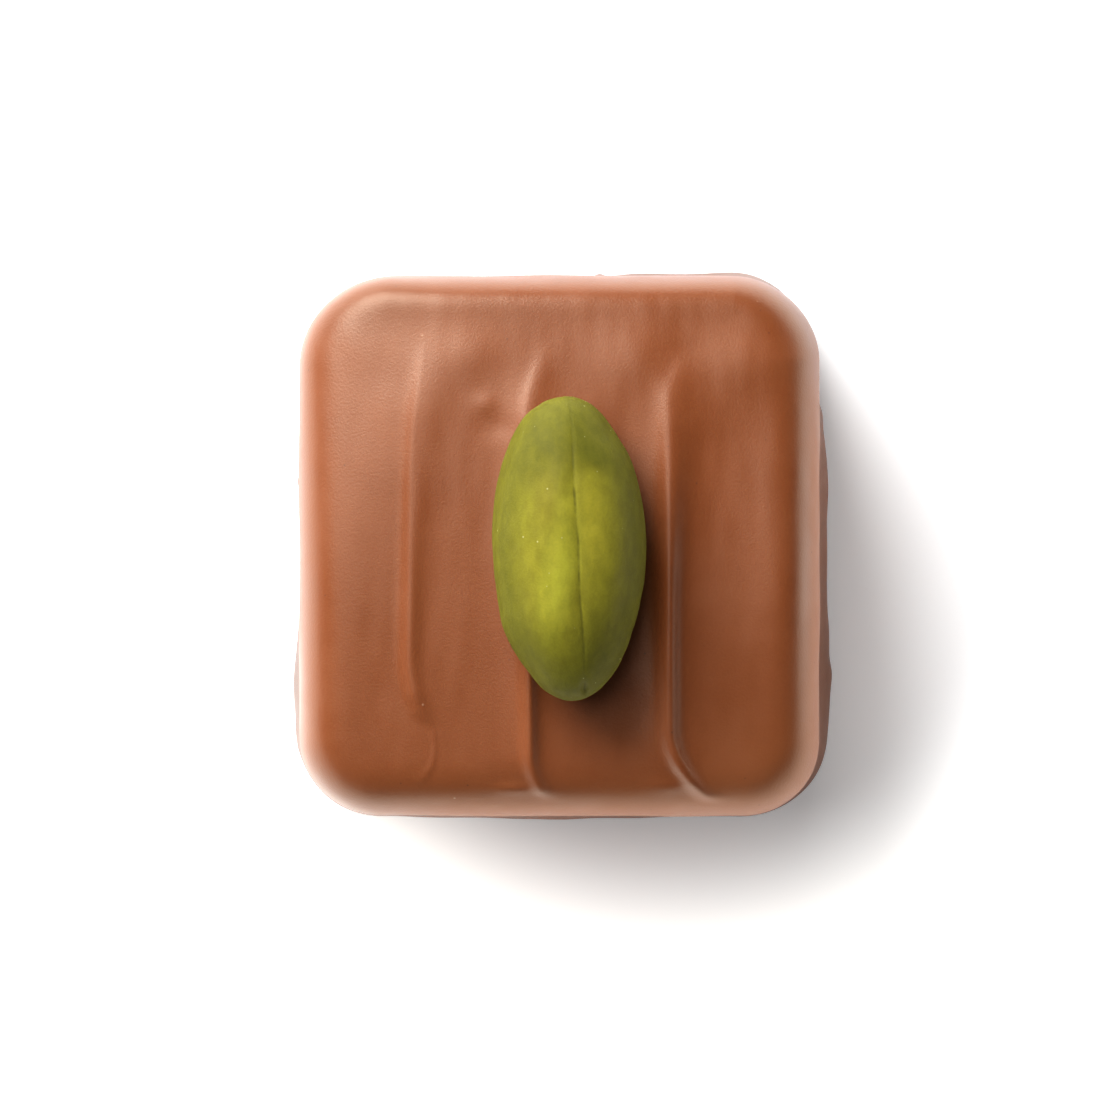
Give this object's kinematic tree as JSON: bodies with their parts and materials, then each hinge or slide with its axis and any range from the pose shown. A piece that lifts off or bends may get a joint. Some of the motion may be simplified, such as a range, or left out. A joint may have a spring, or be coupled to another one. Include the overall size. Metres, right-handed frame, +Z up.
{
  "type": "pistachio nougat praline",
  "caption": "Rounded square chocolate-coated nougat praline with fork ridges on its top and a whole pistachio kernel pressed into the middle.",
  "frame": {"origin": "on the flat underside, at the middle of the praline's bounding box seen from above", "axes": "+Z up; +Y along the kernel and the fork ridges, towards the kernel's blunt end; +X across the ridges, to the right as seen from above"},
  "size_m": [0.0267, 0.0272, 0.0207],
  "materials": {
    "milk_chocolate": "satin milk chocolate",
    "pistachio": "peeled pistachio kernel, matte with a faint sheen"
  },
  "bodies": {
    "root": {"chocolate_body": "milk_chocolate", "pistachio_kernel": "pistachio"}
  },
  "joints": []
}
